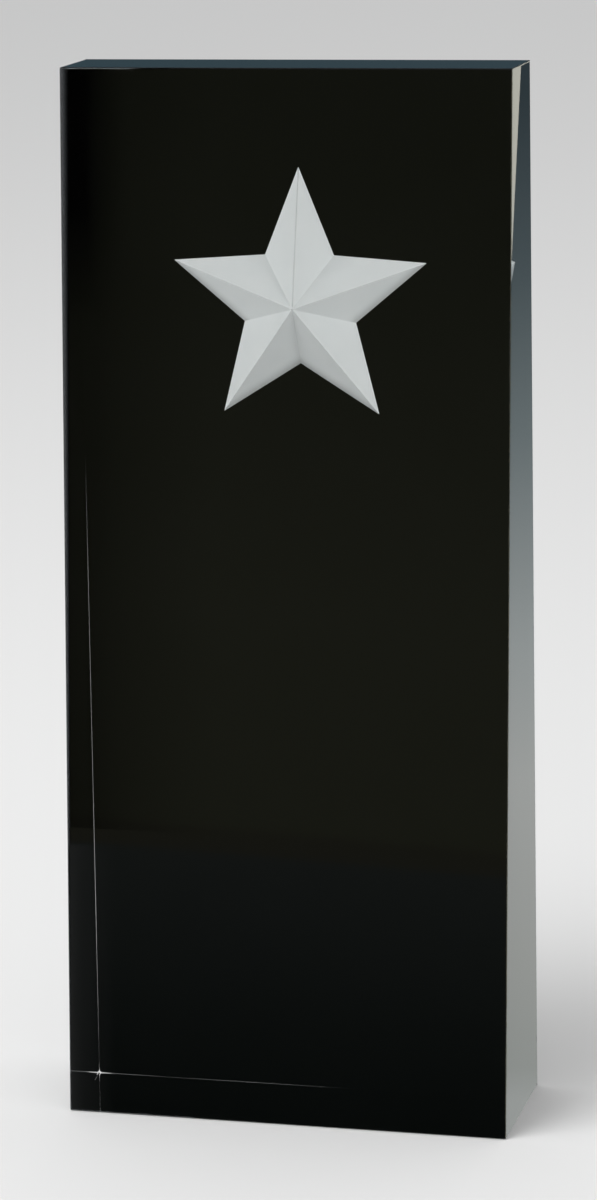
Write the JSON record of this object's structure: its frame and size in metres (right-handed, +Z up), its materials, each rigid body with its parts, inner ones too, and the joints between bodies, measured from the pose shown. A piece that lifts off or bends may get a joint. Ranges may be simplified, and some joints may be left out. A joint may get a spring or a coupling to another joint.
{
  "type": "crystal award",
  "caption": "Upright clear crystal wedge award, level on top and thicker at the base, with a black back and a white five-pointed star cut into it.",
  "frame": {"origin": "middle of the bounding box's underside: centred on the width, half-way from the front bottom edge to the black back, on the flat base", "axes": "+Z up the block, the award faces -Y and its upright back points to +Y, +X to the right as seen from the front"},
  "size_m": [0.088, 0.033, 0.2045],
  "materials": {
    "crystal": "optically clear, polished faces, narrow ground and polished edge flats",
    "white_enamel": "matte white enamel, seen through the crystal as ten flat facets",
    "black_lacquer": "opaque black lacquer bonded to the crystal, satin on its own back"
  },
  "bodies": {
    "root": {"crystal_block": "crystal", "star_enamel": "white_enamel", "back_lacquer": "black_lacquer"}
  },
  "joints": []
}
